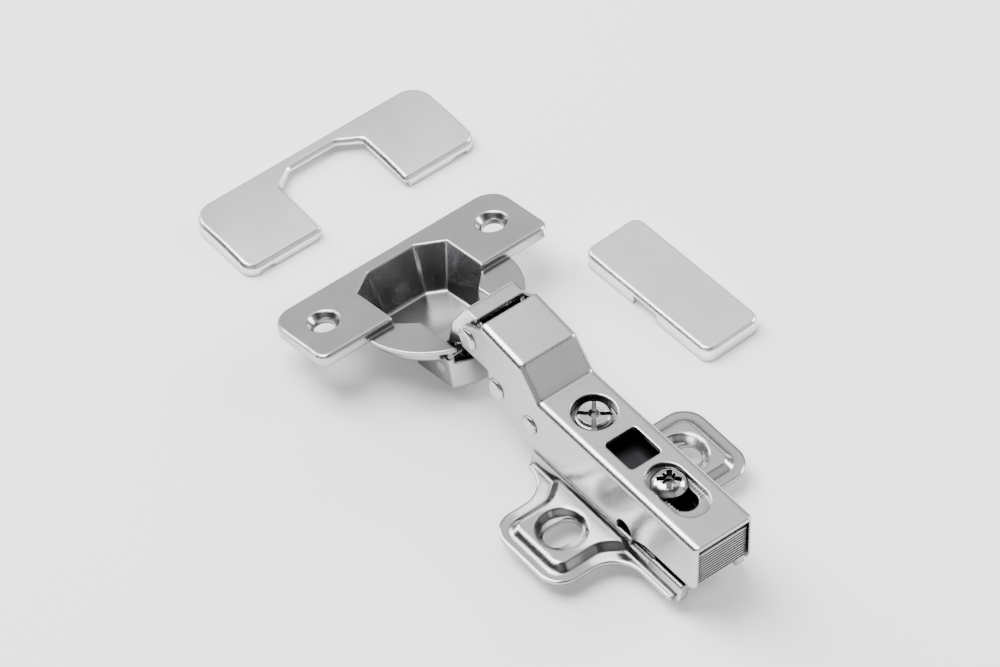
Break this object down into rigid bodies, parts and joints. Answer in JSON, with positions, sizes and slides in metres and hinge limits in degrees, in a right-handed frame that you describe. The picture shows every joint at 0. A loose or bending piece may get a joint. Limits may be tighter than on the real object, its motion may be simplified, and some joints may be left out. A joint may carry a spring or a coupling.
{
  "type": "concealed cabinet hinge",
  "caption": "Concealed clip-on cabinet hinge with screw-on cup, cranked adjustable arm, winged mounting plate and loose cover caps.",
  "frame": {"origin": "middle of the mounting plate's two screw slots, on the plate's underside", "axes": "+Z away from the cabinet side that the plate is screwed to, +X along the arm from the cup to its rear end"},
  "size_m": [0.1526, 0.0853, 0.0303],
  "materials": {
    "polished_plate": "bright nickel plated, polished",
    "dark_steel": "zinc plated, satin",
    "grey_lever": "die-cast, nickel plated, ribbed",
    "spring_steel": "drawn spring wire",
    "screw_steel": "nickel plated",
    "nickel_steel": "satin nickel plated",
    "rivet_steel": "nickel plated",
    "cup_steel": "nickel plated, drawn",
    "satin_cap": "satin nickel plated cover"
  },
  "bodies": {
    "plate": {"mounting_plate": "polished_plate", "clip_base": "dark_steel", "lever_pin": "dark_steel", "cup_cover_cap": "satin_cap", "arm_cover_cap": "satin_cap"},
    "lever": {"release_lever": "grey_lever", "lever_spring": "spring_steel"},
    "clamp_screw": {"depth_clamp_screw": "screw_steel"},
    "adjuster": {"adjuster_shoe": "dark_steel"},
    "side_screw": {"side_adjust_screw": "screw_steel"},
    "arm": {"arm": "nickel_steel", "outer_link_pin": "rivet_steel", "inner_link_pin": "rivet_steel", "cross_pin": "rivet_steel", "closing_spring": "spring_steel"},
    "outer_link": {"outer_link": "nickel_steel"},
    "cup": {"cup": "cup_steel", "outer_cup_pin": "rivet_steel", "inner_cup_pin": "rivet_steel"},
    "inner_link": {"inner_link": "dark_steel"}
  },
  "joints": [
    {"name": "release_lever_press", "type": "hinge", "parent": "plate", "child": "lever", "pos_m": [0.0097, 0, 0.006], "axis": [0, 1, 0], "range_deg": [-3, 0], "stiffness_Nm_per_rad": 0.05, "springref_deg": 5.73},
    {"name": "clamp_screw_turn", "type": "hinge", "parent": "plate", "child": "clamp_screw", "pos_m": [0.0144, 0, 0.0175], "axis": [0, 0, 1], "range_deg": [0, 360]},
    {"name": "depth_slide", "type": "slide", "parent": "plate", "child": "adjuster", "axis": [1, 0, 0], "range_m": [-0.0051, 0]},
    {"name": "side_screw_turn", "type": "hinge", "parent": "adjuster", "child": "side_screw", "pos_m": [-0.0095, 0, 0.0175], "axis": [0, 0, 1], "range_deg": [0, 305]},
    {"name": "arm_tilt", "type": "hinge", "parent": "adjuster", "child": "arm", "pos_m": [0.0144, 0, 0.017], "axis": [0, 1, 0], "range_deg": [0, 2]},
    {"name": "outer_link_swing", "type": "hinge", "parent": "arm", "child": "outer_link", "pos_m": [-0.041, 0, 0.019], "axis": [0, 1, 0], "range_deg": [-6, 0]},
    {"name": "cup_swing", "type": "hinge", "parent": "outer_link", "child": "cup", "pos_m": [-0.04841, 0, 0.00457], "axis": [0, 1, 0], "range_deg": [0, 108.4]},
    {"name": "inner_link_swing", "type": "hinge", "parent": "cup", "child": "inner_link", "pos_m": [-0.04687, 0, 0.00921], "axis": [0, 1, 0], "range_deg": [-137.9, 0]}
  ],
  "couplings": [
    {"joint": "outer_link_swing", "follows": "cup_swing", "ratio": -0.055351},
    {"joint": "inner_link_swing", "follows": "cup_swing", "ratio": -1.2721},
    {"joint": "side_screw_turn", "follows": "arm_tilt", "ratio": 152}
  ]
}
